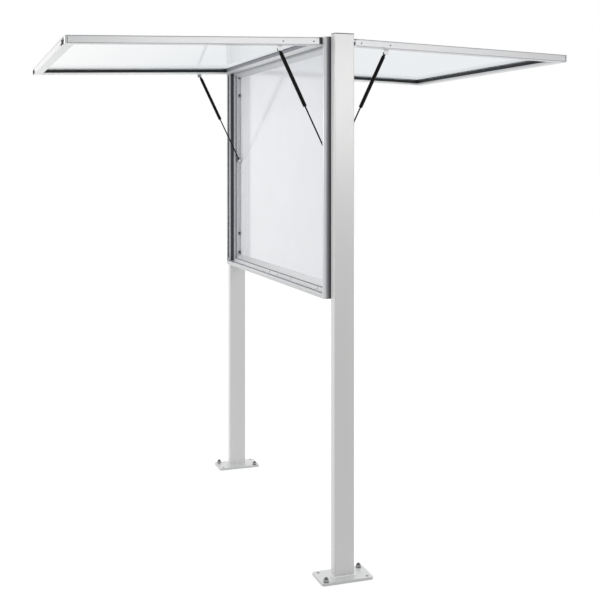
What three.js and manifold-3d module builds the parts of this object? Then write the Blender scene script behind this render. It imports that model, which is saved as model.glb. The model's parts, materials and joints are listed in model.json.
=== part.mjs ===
// Lockable notice board for outdoor use. One case hangs between two posts and carries a glazed
// lift-up door on its front and another on its rear, each held open by two gas struts.
// Units are millimetres. +X runs along the board, -Y is the front and +Z is up.
// The origin lies on the ground under the middle of the board. Both doors stand open.

import * as THREE from 'three';
import { mergeVertices } from 'three/addons/utils/BufferGeometryUtils.js';
import Module from 'manifold-3d';

const wasm = await Module();
wasm.setup();

// Gaps between pieces, and the overrun of a cutting shape
const clearance = 0.3;
const overrun = 5;
const edgeChamfer = 1;

// Counts of facets
const roundSegments = 24;
const smallSegments = 16;
const cornerSegments = 3;

// Posts and their caps
const totalHeight = 2050;
const postSpacing = 1480;
const postWidth = 40;
const postDepth = 80;
const postWall = 3;
const postCornerRadius = 4;
const capThickness = 3;
const capPlugLength = 14;

// Base plates and anchors
const plateWidth = 119;
const plateDepth = 205;
const plateThickness = 10;
const plateCornerRadius = 10;
const plateHoleRadius = 6.5;
const plateHoleInsetX = 16;
const plateHoleInsetY = 20;
const anchorRadius = 5;
const anchorAboveNut = 5;
const washerRadius = 10;
const washerThickness = 2;
const nutAcrossFlats = 17;
const nutHeight = 8.4;

// Case
const caseHeight = 995;
const caseDepth = 128;
const caseBelowPostTop = 8;
const caseToPost = 12;
const spacerStripDepth = 40;
const spacerStripInset = 20;
const frameWall = 3;
const sideProfileWidth = 48;
const sideLipWidth = 13;
const sideRidgeWidth = 12;
const sideCornerRadius = 12;
const sideChannelDepth = 11.5;
const guideBeadHeight = 1.8;
const guideBeadLength = 8;
const guideBeadInset = 10;
const innerGrooveWidth = 3;
const innerGrooveDepth = 2.5;
const innerGrooveInset = 1.5;
const panelThickness = 4;
const panelSlotDepth = 6;
const panelWeb = 8;
const caseSealLeg = 2;
const caseSealLegReach = 12.5;

// Top rail
const roofLip = 1.6;
const topRidgeHeight = 37;
const topRailHeight = 50;

// Bottom rail
const bottomRailHeight = 50;
const bottomRidgeHeight = 30;
const bottomStepHeight = 17;
const bottomStepDepth = 8.5;
const bottomLipHeight = 16;
const bottomLipThickness = 6;
const bottomGrooveHeight = 14;
const faceGrooveHeight = 7.2;
const faceGrooveWidth = 1.8;
const faceGrooveDepth = 1.2;

// Doors
const doorThickness = 29;
const doorBarWidth = 38;
const doorSideClearance = 3;
const doorBottomClearance = 3;
const doorTopClearance = 0.4;
const doorSweepClearance = 0.7;
const doorCornerRadius = 10;
const noseRadius = 6;
const hingeBarBelowPivot = 18;
const hingeRodRadius = 3;
const doorLipThickness = 8;
const doorFlangeThickness = 2;
const doorSealThickness = 5;
const paneThickness = 4;
const paneEngagement = 10;
const openAngle = THREE.MathUtils.degToRad(88.2);

// Locks, one near each end of a lock bar
const lockFromEnd = 70;
const lockFromEdge = 15;
const lockBarrelRadius = 8;
const lockHeadRadius = 10;
const lockHeadHeight = 1.2;
const lockBarrelLength = 15;
const keySlotWidth = 1.4;
const keySlotLength = 8;
const camThickness = 3;
const camWidth = 10;
const camLength = 28;
const camPlay = 0.8;
const lockRecessDepth = 1.2;
const lockRecessInward = 32;
const lockRecessOutward = 54;
const lockRecessSide = 3;
const keeperThickness = 2;
const keeperSide = 12;

// Gas struts. The pin on a door is placed from the hinge axis with the door closed, and the
// pin on the case by its depth from the middle of the board.
const strutFromDoorEdge = 52;
const strutDoorPinInward = 35;
const strutDoorPinDown = 162;
const strutCasePinDepth = 14;
const strutCasePinDown = 462;
const strutCylinderRadius = 7.5;
const strutCylinderLength = 239;
const strutNeckRadius = 5;
const strutNeckLength = 12;
const strutMouthChamfer = 1;
const strutBoreEnd = 40;
const strutRodRadius = 3;
const strutRodOverlap = 20;
const strutRodNeckRadius = 4.5;
const strutRodNeckLength = 18;
const strutEyeRadius = 7;
const strutEyeThickness = 10;
const studRadius = 4;
const studCollarRadius = 6;
const studCollarLength = 2.7;
const studPastEye = 1;
const bracketThickness = 2.7;
const doorBracketHalfLength = 9;
const doorBracketReach = 6;
const doorBracketSeat = 7;
const caseBracketHalfWidth = 9.5;
const caseBracketHalfLength = 12;

// Sizes that follow from the ones above
const postTop = totalHeight - capThickness;
const caseTop = totalHeight - caseBelowPostTop;
const caseBottom = caseTop - caseHeight;
const caseFace = caseDepth / 2;
const caseHalfWidth = postSpacing / 2 - postWidth / 2 - caseToPost;
const lipInner = caseHalfWidth - sideLipWidth;
const innerWall = caseHalfWidth - sideProfileWidth;
const doorHalfWidth = lipInner - doorSideClearance;
const pivotDepth = caseFace - noseRadius;
const pivotHeight = caseTop - roofLip - doorTopClearance - noseRadius;
const doorInner = noseRadius - doorThickness;
const doorSweep = Math.hypot(doorInner, noseRadius);
const landing = pivotDepth - doorSweep - doorSweepClearance;
const doorDrop = pivotHeight - caseBottom - bottomStepHeight - doorBottomClearance;
const paneInner = noseRadius - doorFlangeThickness - clearance - paneThickness;
const paneSeat = paneInner - clearance;
const lockX = doorHalfWidth - lockFromEnd;
const strutX = doorHalfWidth - strutFromDoorEdge;
const strutRodBoreRadius = strutRodRadius + clearance;
const panelHalfSlot = panelThickness / 2 + clearance;

// Colours, roughness and metalness of the materials
const silver = { color: 0xc3c6c8, roughness: 0.42, metalness: 0.75 };
const brightSilver = { color: 0xd3d5d7, roughness: 0.36, metalness: 0.75 };
const zinc = { color: 0xb4b6b8, roughness: 0.4, metalness: 0.9 };
const blackRubber = { color: 0x17181a, roughness: 0.8, metalness: 0 };
const blackPaint = { color: 0x0d0d0e, roughness: 0.3, metalness: 0.1 };
const darkSteel = { color: 0x3a3c3f, roughness: 0.35, metalness: 0.9 };
const whitePanel = { color: 0xeff1f3, roughness: 0.25, metalness: 0 };
const clearPane = { color: 0xe3f0ee, roughness: 0.06, metalness: 0, transparent: true, opacity: 0.22 };

const board = new THREE.Group();

// Adds one named piece to a group
function addPiece(group, name, geometry, finish) {
  const mesh = new THREE.Mesh(geometry, new THREE.MeshStandardMaterial(finish));
  mesh.name = name;
  group.add(mesh);
  return mesh;
}

// Turns a closed geometry into a solid that can be cut and joined
function toSolid(geometry) {
  const bare = geometry.clone();
  bare.deleteAttribute('normal');
  bare.deleteAttribute('uv');
  const merged = mergeVertices(bare);
  const mesh = new wasm.Mesh({
    numProp: 3,
    vertProperties: merged.attributes.position.array,
    triVerts: new Uint32Array(merged.index.array),
  });
  return new wasm.Manifold(mesh);
}

// Turns a solid back into a geometry
function toGeometry(solid) {
  const mesh = solid.getMesh();
  const geometry = new THREE.BufferGeometry();
  geometry.setAttribute('position', new THREE.BufferAttribute(new Float32Array(mesh.vertProperties), 3));
  geometry.setIndex(new THREE.BufferAttribute(new Uint32Array(mesh.triVerts), 1));
  geometry.computeVertexNormals();
  return geometry;
}

// Cuts a list of geometries out of one
function cut(geometry, tools) {
  let solid = toSolid(geometry);
  for (const tool of tools) {
    solid = solid.subtract(toSolid(tool));
  }
  return toGeometry(solid);
}

// Joins geometries into one
function join(geometries) {
  let solid = toSolid(geometries[0]);
  for (const geometry of geometries.slice(1)) {
    solid = solid.add(toSolid(geometry));
  }
  return toGeometry(solid);
}

// Keeps what two geometries share
function common(first, second) {
  return toGeometry(toSolid(first).intersect(toSolid(second)));
}

// A closed outline from pairs
function outline(points) {
  return new THREE.Shape(points.map(([a, b]) => new THREE.Vector2(a, b)));
}

// Extrudes an outline along Z from 0
function extrude(shape, depth) {
  return new THREE.ExtrudeGeometry(shape, { depth, bevelEnabled: false, curveSegments: cornerSegments });
}

// Extrudes an outline of (y, z) along X
function prismAlongX(shape, x0, x1) {
  const turn = new THREE.Matrix4().makeBasis(
    new THREE.Vector3(0, 1, 0),
    new THREE.Vector3(0, 0, 1),
    new THREE.Vector3(1, 0, 0),
  );
  return extrude(shape, x1 - x0).applyMatrix4(turn).translate(x0, 0, 0);
}

// Extrudes an outline of (x, z) along Y
function prismAlongY(shape, y0, y1) {
  const turn = new THREE.Matrix4().makeBasis(
    new THREE.Vector3(1, 0, 0),
    new THREE.Vector3(0, 0, 1),
    new THREE.Vector3(0, -1, 0),
  );
  return extrude(shape, y1 - y0).applyMatrix4(turn).translate(0, y1, 0);
}

// Extrudes an outline of (x, y) along Z
function prismAlongZ(shape, z0, z1) {
  return extrude(shape, z1 - z0).translate(0, 0, z0);
}

// A box between two corners
function box([x0, y0, z0], [x1, y1, z1]) {
  const geometry = new THREE.BoxGeometry(Math.abs(x1 - x0), Math.abs(y1 - y0), Math.abs(z1 - z0));
  return geometry.translate((x0 + x1) / 2, (y0 + y1) / 2, (z0 + z1) / 2);
}

// Round bars along each axis, through the point (a, b) of the other two
function roundAlongX(radius, x0, x1, y, z, segments = smallSegments) {
  const geometry = new THREE.CylinderGeometry(radius, radius, Math.abs(x1 - x0), segments);
  return geometry.rotateZ(Math.PI / 2).translate((x0 + x1) / 2, y, z);
}

function roundAlongY(radius, y0, y1, x, z, segments = smallSegments) {
  const geometry = new THREE.CylinderGeometry(radius, radius, Math.abs(y1 - y0), segments);
  return geometry.translate(x, (y0 + y1) / 2, z);
}

function roundAlongZ(radius, z0, z1, x, y, segments = smallSegments) {
  const geometry = new THREE.CylinderGeometry(radius, radius, Math.abs(z1 - z0), segments);
  return geometry.rotateX(Math.PI / 2).translate(x, y, (z0 + z1) / 2);
}

// A rectangle about the origin with round corners
function roundedRectangle(halfA, halfB, radius) {
  const shape = new THREE.Shape();
  shape.moveTo(halfA, radius - halfB);
  shape.lineTo(halfA, halfB - radius);
  shape.absarc(halfA - radius, halfB - radius, radius, 0, Math.PI / 2);
  shape.lineTo(radius - halfA, halfB);
  shape.absarc(radius - halfA, halfB - radius, radius, Math.PI / 2, Math.PI);
  shape.lineTo(-halfA, radius - halfB);
  shape.absarc(radius - halfA, radius - halfB, radius, Math.PI, 1.5 * Math.PI);
  shape.lineTo(halfA - radius, -halfB);
  shape.absarc(halfA - radius, radius - halfB, radius, 1.5 * Math.PI, 2 * Math.PI);
  return shape;
}

// The points of a quarter arc about (a, b), from its second axis to its first
function quarterArc(a, b, radius) {
  const points = [];
  const steps = roundSegments / 4;
  for (let i = 0; i <= steps; i += 1) {
    const angle = (Math.PI / 2) * (1 - i / steps);
    points.push([a + radius * Math.cos(angle), b + radius * Math.sin(angle)]);
  }
  return points;
}

// Mirrors half an outline across its second axis, and closes it
function mirrored(half) {
  const other = half.map(([a, b]) => [-a, b]).reverse();
  return half.concat(other.filter(([a]) => a !== 0));
}

// The post is a rectangular tube
function postGeometry() {
  const shape = roundedRectangle(postWidth / 2, postDepth / 2, postCornerRadius);
  const innerRadius = Math.max(postCornerRadius - postWall, edgeChamfer / 2);
  const bore = roundedRectangle(postWidth / 2 - postWall, postDepth / 2 - postWall, innerRadius);
  const tube = prismAlongZ(shape, plateThickness + clearance, postTop - clearance);
  return cut(tube, [prismAlongZ(bore, plateThickness - overrun, postTop + overrun)]);
}

// The cap covers the tube and plugs into it
function capGeometry() {
  const cover = roundedRectangle(postWidth / 2, postDepth / 2, postCornerRadius);
  const plugInset = postWall + clearance;
  const plug = roundedRectangle(postWidth / 2 - plugInset, postDepth / 2 - plugInset, edgeChamfer);
  return join([
    prismAlongZ(cover, postTop, totalHeight),
    prismAlongZ(plug, postTop - capPlugLength, postTop + capThickness / 2),
  ]);
}

// The places of the four holes of a base plate, about the middle of its post
function plateHoles() {
  const x = plateWidth / 2 - plateHoleInsetX;
  const y = plateDepth / 2 - plateHoleInsetY;
  return [[x, y], [-x, y], [-x, -y], [x, -y]];
}

function basePlateGeometry() {
  const shape = roundedRectangle(plateWidth / 2, plateDepth / 2, plateCornerRadius);
  const plate = prismAlongZ(shape, 0, plateThickness);
  const holes = plateHoles().map(([x, y]) => (
    roundAlongZ(plateHoleRadius, -overrun, plateThickness + overrun, x, y)
  ));
  return cut(plate, holes);
}

// One anchor: its shank through the plate, a washer, a nut and the end of the thread
function anchorGeometry(x, y) {
  const washerBase = plateThickness + clearance;
  const nutBase = washerBase + washerThickness;
  const nutTop = nutBase + nutHeight;
  const nutRadius = nutAcrossFlats / 2 / Math.cos(Math.PI / 6);
  return join([
    roundAlongZ(anchorRadius, 0, nutTop + anchorAboveNut, x, y),
    roundAlongZ(washerRadius, washerBase, nutBase, x, y),
    roundAlongZ(nutRadius, nutBase, nutTop, x, y, 6),
  ]);
}

function addPosts() {
  const holes = plateHoles();
  for (const [side, label] of [[1, 'right'], [-1, 'left']]) {
    const x = side * postSpacing / 2;
    const stand = new THREE.Group();
    stand.position.x = x;
    addPiece(stand, `post_${label}`, postGeometry(), silver);
    addPiece(stand, `post_cap_${label}`, capGeometry(), silver);
    addPiece(stand, `base_plate_${label}`, basePlateGeometry(), silver);
    for (const [end, endLabel] of [[1, 'rear'], [-1, 'front']]) {
      const across = side * -end;
      const [holeX, holeY] = holes.find(([a, b]) => Math.sign(a) === across && Math.sign(b) === end);
      addPiece(stand, `anchor_${label}_${endLabel}`, anchorGeometry(holeX, holeY), zinc);
    }
    board.add(stand);
  }
}

// A strip packs out the gap between each side of the case and its post
function addSpacerStrips() {
  for (const [side, label] of [[1, 'right'], [-1, 'left']]) {
    const near = [side * (caseHalfWidth + clearance), -spacerStripDepth / 2, caseBottom + spacerStripInset];
    const far = [
      side * (caseHalfWidth + caseToPost - clearance),
      spacerStripDepth / 2,
      caseTop - spacerStripInset,
    ];
    addPiece(board, `spacer_strip_${label}`, box(near, far), silver);
  }
}

// Half the section of the side profile, as distance from the middle of the board and depth
function sideProfileHalf() {
  const ridgeEnd = innerWall + sideRidgeWidth;
  const channelFloor = landing - sideChannelDepth;
  const grooveOuter = landing - innerGrooveInset;
  const grooveInner = grooveOuter - innerGrooveWidth;
  const beadOuter = caseFace - guideBeadInset;
  const beadInner = beadOuter - guideBeadLength;
  const corner = Math.min(sideCornerRadius, sideLipWidth - edgeChamfer);
  return [
    [innerWall + panelSlotDepth, 0],
    [innerWall + panelSlotDepth, panelHalfSlot],
    [innerWall, panelHalfSlot],
    [innerWall, grooveInner],
    [innerWall + innerGrooveDepth, grooveInner],
    [innerWall + innerGrooveDepth, grooveOuter],
    [innerWall, grooveOuter],
    [innerWall, landing],
    [ridgeEnd, landing],
    [ridgeEnd, channelFloor],
    [lipInner, channelFloor],
    [lipInner, beadInner],
    [lipInner - guideBeadHeight, beadInner],
    [lipInner, beadOuter],
    [lipInner, caseFace],
    ...quarterArc(caseHalfWidth - corner, caseFace - corner, corner),
    [caseHalfWidth, 0],
  ];
}

// The side profile is hollow, and open at its lower end. Its bead stops short of the rails.
function caseSideGeometry() {
  const half = sideProfileHalf();
  const back = half.map(([a, b]) => [a, -b]).reverse();
  const points = half.concat(back.filter(([, b]) => b !== 0));
  const profile = prismAlongZ(outline(points), caseBottom, caseTop);
  const chamberHalfDepth = landing - sideChannelDepth - frameWall;
  const chamber = box(
    [innerWall + panelSlotDepth + frameWall, -chamberHalfDepth, caseBottom - overrun],
    [caseHalfWidth - frameWall, chamberHalfDepth, caseTop - frameWall],
  );
  const tools = [chamber];
  const beadFoot = caseBottom + bottomStepHeight + clearance;
  const beadHead = caseTop - roofLip - clearance;
  for (const facing of [1, -1]) {
    const near = facing * (landing + clearance);
    const far = facing * (caseFace + overrun);
    const inner = lipInner - guideBeadHeight - overrun;
    tools.push(box([inner, near, caseBottom - overrun], [lipInner, far, beadFoot]));
    tools.push(box([inner, near, beadHead], [lipInner, far, caseTop + overrun]));
  }
  return cut(profile, tools);
}

// Half the section of the top rail between the side profiles, as depth and height
function topRailHalf() {
  const grooveOuter = landing - innerGrooveInset;
  const grooveInner = grooveOuter - innerGrooveWidth;
  const ridgeFoot = caseTop - topRidgeHeight;
  return [
    [0, caseTop],
    [caseFace, caseTop],
    [caseFace, caseTop - roofLip],
    [landing, caseTop - roofLip],
    [landing, ridgeFoot],
    [grooveOuter, ridgeFoot],
    [grooveOuter, ridgeFoot + innerGrooveDepth],
    [grooveInner, ridgeFoot + innerGrooveDepth],
    [grooveInner, ridgeFoot],
    [panelThickness, caseTop - topRailHeight],
    [panelHalfSlot, caseTop - topRailHeight],
    [panelHalfSlot, caseTop - topRailHeight + panelSlotDepth],
    [0, caseTop - topRailHeight + panelSlotDepth],
  ];
}

// The front and rear wings of a rail reach past the inner wall, up to the side lips
function railWing(points, facing) {
  const wing = points.map(([a, b]) => [facing * a, b]);
  return prismAlongX(outline(wing), clearance - lipInner, lipInner - clearance);
}

function topRailGeometry() {
  const end = innerWall - clearance;
  const core = prismAlongX(outline(mirrored(topRailHalf())), -end, end);
  const wing = [
    [landing + clearance, caseTop],
    [caseFace, caseTop],
    [caseFace, caseTop - roofLip],
    [landing + clearance, caseTop - roofLip],
  ];
  const chamberTop = caseTop - frameWall - roofLip;
  const chamberOuter = landing - innerGrooveInset - innerGrooveWidth - frameWall;
  const chamberFoot = caseTop - topRidgeHeight + frameWall;
  const tools = [1, -1].map((facing) => prismAlongX(
    outline([
      [facing * panelWeb, chamberTop],
      [facing * chamberOuter, chamberTop],
      [facing * chamberOuter, chamberFoot],
      [facing * panelWeb, chamberFoot],
    ]),
    -end - overrun,
    end + overrun,
  ));
  return cut(join([core, railWing(wing, 1), railWing(wing, -1)]), tools);
}

// Half the section of the bottom rail, as depth and height
function bottomRailHalf() {
  const grooveOuter = landing - innerGrooveInset;
  const grooveInner = grooveOuter - innerGrooveWidth;
  const ridgeTop = caseBottom + bottomRidgeHeight;
  const panelTop = caseBottom + bottomRailHeight;
  return [
    [0, caseBottom],
    ...bottomWingOuter(),
    [landing, caseBottom + bottomStepHeight],
    [landing, ridgeTop],
    [grooveOuter, ridgeTop],
    [grooveOuter, ridgeTop - innerGrooveDepth],
    [grooveInner, ridgeTop - innerGrooveDepth],
    [grooveInner, ridgeTop],
    [panelThickness, panelTop],
    [panelHalfSlot, panelTop],
    [panelHalfSlot, panelTop - panelSlotDepth],
    [0, panelTop - panelSlotDepth],
  ];
}

// The outer points of the bottom rail: its grooved face, the lip, the drain groove and the step
function bottomWingOuter() {
  const faceGroove = caseBottom + faceGrooveHeight;
  const lipInnerDepth = caseFace - bottomLipThickness;
  const stepDepth = landing + bottomStepDepth;
  return [
    [caseFace, caseBottom],
    [caseFace, faceGroove],
    [caseFace - faceGrooveDepth, faceGroove],
    [caseFace - faceGrooveDepth, faceGroove + faceGrooveWidth],
    [caseFace, faceGroove + faceGrooveWidth],
    [caseFace, caseBottom + bottomLipHeight - edgeChamfer],
    [caseFace - edgeChamfer, caseBottom + bottomLipHeight],
    [lipInnerDepth, caseBottom + bottomLipHeight],
    [lipInnerDepth, caseBottom + bottomGrooveHeight],
    [stepDepth, caseBottom + bottomGrooveHeight],
    [stepDepth, caseBottom + bottomStepHeight],
  ];
}

// The lock cams hang in the door at this depth, measured out from the hinge axis
const camOuter = noseRadius + clearance - lockBarrelLength;
const camInner = camOuter - camThickness;
const camMiddleDepth = pivotDepth + (camOuter + camInner) / 2;

// The opening that a turning cam needs at a depth below the axis of its lock
function camReach(below) {
  const corner = Math.hypot(camLength, camWidth / 2);
  return Math.sqrt(Math.max(corner * corner - below * below, 0)) + camPlay;
}

// A cut through which the cam of one lock turns down
function camSlot(side, facing, below, z0, z1) {
  const halfDepth = camThickness / 2 + camPlay;
  const nearX = side * (lockX + camWidth / 2 + camPlay);
  const farX = side * (lockX - camReach(below));
  const depth = facing * camMiddleDepth;
  return box([nearX, depth - halfDepth, z0], [farX, depth + halfDepth, z1]);
}

function bottomRailGeometry() {
  const end = innerWall - clearance;
  const core = prismAlongX(outline(mirrored(bottomRailHalf())), -end, end);
  const wing = [
    [landing + clearance, caseBottom],
    ...bottomWingOuter(),
    [landing + clearance, caseBottom + bottomStepHeight],
  ];
  const chamberFoot = caseBottom + frameWall;
  const chamberRoof = caseBottom + bottomGrooveHeight - frameWall;
  const innerRoof = caseBottom + bottomRidgeHeight - innerGrooveDepth - frameWall;
  const innerEdge = landing - innerGrooveInset - innerGrooveWidth - frameWall;
  const tools = [1, -1].map((facing) => prismAlongX(
    outline([
      [facing * panelWeb, chamberFoot],
      [facing * (caseFace - frameWall), chamberFoot],
      [facing * (caseFace - frameWall), chamberRoof],
      [facing * innerEdge, chamberRoof],
      [facing * innerEdge, innerRoof],
      [facing * panelWeb, innerRoof],
    ]),
    -lipInner - overrun,
    lipInner + overrun,
  ));
  const below = doorBottomClearance + bottomStepHeight - bottomGrooveHeight + lockFromEdge;
  for (const side of [1, -1]) {
    for (const facing of [1, -1]) {
      tools.push(camSlot(side, facing, below, chamberRoof - overrun / 2, caseBottom + bottomLipHeight));
    }
  }
  return cut(join([core, railWing(wing, 1), railWing(wing, -1)]), tools);
}

// The white panel stands in slots all round, at mid depth
function panelGeometry() {
  const halfWidth = innerWall + panelSlotDepth - clearance;
  const foot = caseBottom + bottomRailHeight - panelSlotDepth + clearance;
  const head = caseTop - topRailHeight + panelSlotDepth - clearance;
  return box([-halfWidth, -panelThickness / 2, foot], [halfWidth, panelThickness / 2, head]);
}

// The rubber seal in the channel of a side profile, with a thin leg on the lip
function caseSealGeometry(side, facing) {
  const outer = lipInner - clearance;
  const inner = innerWall + sideRidgeWidth + clearance;
  const floor = landing - sideChannelDepth + clearance;
  const legEnd = landing + caseSealLegReach - clearance;
  const points = [
    [side * inner, facing * floor],
    [side * outer, facing * floor],
    [side * outer, facing * legEnd],
    [side * (outer - caseSealLeg), facing * legEnd],
    [side * (outer - caseSealLeg), facing * landing],
    [side * inner, facing * landing],
  ];
  const foot = caseBottom + bottomStepHeight + clearance;
  return prismAlongZ(outline(points), foot, caseTop - roofLip - clearance);
}

// A keeper plate in the groove of the bottom rail, under each lock
function keeperGeometry(side, facing) {
  const foot = caseBottom + bottomGrooveHeight + clearance;
  const nearDepth = landing + bottomStepDepth + clearance;
  const farDepth = caseFace - bottomLipThickness - clearance;
  const reach = camReach(lockFromEdge + doorBottomClearance);
  const plate = box(
    [side * (lockX + camWidth / 2 + keeperSide), facing * nearDepth, foot],
    [side * (lockX - reach - keeperSide), facing * farDepth, foot + keeperThickness],
  );
  const slot = camSlot(side, facing, lockFromEdge + doorBottomClearance, foot - overrun, foot + overrun);
  return cut(plate, [slot]);
}

// A bracket on the inner wall of the case, with the stud of a strut
function caseBracketGeometry(side, facing) {
  const y = facing * strutCasePinDepth;
  const z = pivotHeight - strutCasePinDown;
  const seat = innerWall - clearance;
  const face = seat - bracketThickness;
  const tip = strutX + strutEyeThickness / 2 + clearance;
  const shape = roundedRectangle(caseBracketHalfWidth, caseBracketHalfLength, studRadius);
  const plate = prismAlongX(shape, Math.min(side * face, side * seat), Math.max(side * face, side * seat));
  return join([
    plate.translate(0, y, z),
    roundAlongX(studRadius, side * tip, side * (face + bracketThickness / 2), y, z),
    roundAlongX(studCollarRadius, side * tip, side * (tip + studCollarLength), y, z),
  ]);
}

function addCase() {
  for (const [side, label] of [[1, 'right'], [-1, 'left']]) {
    const piece = addPiece(board, `case_side_${label}`, caseSideGeometry(), silver);
    piece.rotation.z = side > 0 ? 0 : Math.PI;
  }
  addPiece(board, 'top_rail', topRailGeometry(), silver);
  addPiece(board, 'bottom_rail', bottomRailGeometry(), silver);
  addPiece(board, 'back_panel', panelGeometry(), whitePanel);
  for (const [facing, face] of [[-1, 'front'], [1, 'rear']]) {
    const reach = lipInner - clearance;
    const rod = roundAlongX(hingeRodRadius, -reach, reach, facing * pivotDepth, pivotHeight);
    addPiece(board, `${face}_hinge_rod`, rod, darkSteel);
    for (const [side, label] of [[1, 'right'], [-1, 'left']]) {
      addPiece(board, `case_seal_${face}_${label}`, caseSealGeometry(side, facing), blackRubber);
      addPiece(board, `keeper_${face}_${label}`, keeperGeometry(side, facing), zinc);
      addPiece(board, `case_bracket_${face}_${label}`, caseBracketGeometry(side, facing), blackPaint);
    }
  }
}

// Door pieces are made closed, about the hinge axis, for a door on the front:
// x along the board, -y outwards and -z down to the free edge.

// The section of a side bar or lock bar, as distance from its outer edge and depth outwards
function barSection() {
  const seal = doorBarWidth - doorSealThickness;
  const slot = doorBarWidth - paneEngagement;
  const lip = doorInner + doorLipThickness;
  const flange = noseRadius - doorFlangeThickness;
  return [
    [0, doorInner],
    [doorBarWidth, doorInner],
    [doorBarWidth, lip],
    [seal, lip],
    [seal, paneSeat],
    [slot, paneSeat],
    [slot, flange],
    [doorBarWidth, flange],
    [doorBarWidth, noseRadius],
    [edgeChamfer, noseRadius],
    [0, noseRadius - edgeChamfer],
  ];
}

// The hollow inside a side bar or lock bar
function barChamber() {
  const seal = doorBarWidth - doorSealThickness - frameWall;
  const slot = doorBarWidth - paneEngagement - frameWall;
  return [
    [frameWall, doorInner + frameWall],
    [seal, doorInner + frameWall],
    [seal, paneSeat - frameWall],
    [slot, paneSeat - frameWall],
    [slot, noseRadius - frameWall],
    [frameWall, noseRadius - frameWall],
  ];
}

// The door's outline with its round lower corners
function doorOutline() {
  const shape = new THREE.Shape();
  const foot = -doorDrop;
  const inset = doorHalfWidth - doorCornerRadius;
  shape.moveTo(doorHalfWidth, noseRadius);
  shape.lineTo(-doorHalfWidth, noseRadius);
  shape.lineTo(-doorHalfWidth, foot + doorCornerRadius);
  shape.absarc(-inset, foot + doorCornerRadius, doorCornerRadius, Math.PI, 1.5 * Math.PI);
  shape.lineTo(inset, foot);
  shape.absarc(inset, foot + doorCornerRadius, doorCornerRadius, 1.5 * Math.PI, 2 * Math.PI);
  return prismAlongY(shape, -noseRadius - overrun, -doorInner + overrun);
}

// The wedge beyond the mitre, which belongs to the lock bar or to the side bar
function mitreWedge(side, keepsSideBar) {
  const shift = clearance / Math.SQRT2;
  const reach = doorBarWidth + overrun;
  const near = -doorDrop - overrun;
  const far = -doorDrop + reach;
  const outerX = side * (doorHalfWidth + overrun);
  const innerX = side * (doorHalfWidth - reach);
  const points = keepsSideBar
    ? [[outerX, near + shift], [innerX, far + shift], [innerX, near]]
    : [[outerX, near - shift], [innerX, far - shift], [outerX, far]];
  return prismAlongY(outline(points), -noseRadius - overrun, -doorInner + overrun);
}

function sideBarGeometry(side) {
  const place = ([w, out]) => [side * (doorHalfWidth - w), -out];
  const foot = -doorDrop - overrun;
  const bar = prismAlongZ(outline(barSection().map(place)), foot, -hingeBarBelowPivot - clearance);
  const chamber = prismAlongZ(outline(barChamber().map(place)), foot, overrun);
  return cut(common(bar, doorOutline()), [chamber, mitreWedge(side, true)]);
}

function lockBarGeometry() {
  const place = ([w, out]) => [-out, w - doorDrop];
  const end = doorHalfWidth + overrun;
  const bar = prismAlongX(outline(barSection().map(place)), -end, end);
  const chamber = prismAlongX(outline(barChamber().map(place)), -end - overrun, end + overrun);
  const lockHeight = lockFromEdge - doorDrop;
  const foot = -doorDrop - overrun;
  const wallTop = frameWall - doorDrop + clearance;
  const bore = lockBarrelRadius + clearance;
  const tools = [chamber, mitreWedge(1, false), mitreWedge(-1, false)];
  for (const side of [1, -1]) {
    const x = side * lockX;
    tools.push(roundAlongY(bore, -noseRadius - overrun, frameWall - noseRadius + clearance, x, lockHeight));
    const slot = camSlot(side, -1, lockFromEdge - frameWall, foot, wallTop);
    tools.push(slot.translate(0, pivotDepth, 0));
    tools.push(box(
      [x + side * lockRecessOutward, -noseRadius + lockRecessSide, foot],
      [x - side * lockRecessInward, -doorInner - lockRecessSide, lockRecessDepth - doorDrop],
    ));
  }
  return cut(common(bar, doorOutline()), tools);
}

// The hinge bar carries the pane's upper edge and turns about the hinge rod in its round nose
function hingeBarGeometry() {
  const flange = noseRadius - doorFlangeThickness;
  const slotTop = paneEngagement - hingeBarBelowPivot;
  const shape = new THREE.Shape();
  shape.moveTo(-doorInner, -hingeBarBelowPivot);
  shape.lineTo(-doorInner, noseRadius);
  shape.lineTo(0, noseRadius);
  shape.absarc(0, 0, noseRadius, Math.PI / 2, Math.PI);
  shape.lineTo(-noseRadius, -hingeBarBelowPivot);
  shape.lineTo(-flange, -hingeBarBelowPivot);
  shape.lineTo(-flange, slotTop);
  shape.lineTo(-paneSeat, slotTop);
  shape.lineTo(-paneSeat, -hingeBarBelowPivot);
  const bar = prismAlongX(shape, -doorHalfWidth, doorHalfWidth);
  const end = doorHalfWidth + overrun;
  const bore = roundAlongX(hingeRodRadius + clearance, -end, end, 0, 0);
  const chamber = box(
    [-end, noseRadius, frameWall - hingeBarBelowPivot],
    [end, -doorInner - frameWall, noseRadius - frameWall],
  );
  return cut(bar, [bore, chamber]);
}

// The clear pane fills the frame, held by its edges
function paneGeometry() {
  const edge = doorBarWidth - paneEngagement + clearance;
  const halfWidth = doorHalfWidth - edge;
  const head = paneEngagement - hingeBarBelowPivot - clearance;
  return box([-halfWidth, -paneInner - paneThickness, edge - doorDrop], [halfWidth, -paneInner, head]);
}

// The black seal lines the inner edges of the side bars and the lock bar
function doorSealGeometry() {
  const outerX = doorHalfWidth - doorBarWidth + doorSealThickness - clearance;
  const innerX = doorHalfWidth - doorBarWidth;
  const outerZ = doorBarWidth - doorSealThickness + clearance - doorDrop;
  const innerZ = doorBarWidth - doorDrop;
  const head = -hingeBarBelowPivot - clearance;
  const shape = outline([
    [outerX, head],
    [outerX, outerZ],
    [-outerX, outerZ],
    [-outerX, head],
    [-innerX, head],
    [-innerX, innerZ],
    [innerX, innerZ],
    [innerX, head],
  ]);
  return prismAlongY(shape, -paneSeat, -doorInner - doorLipThickness - clearance);
}

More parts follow.
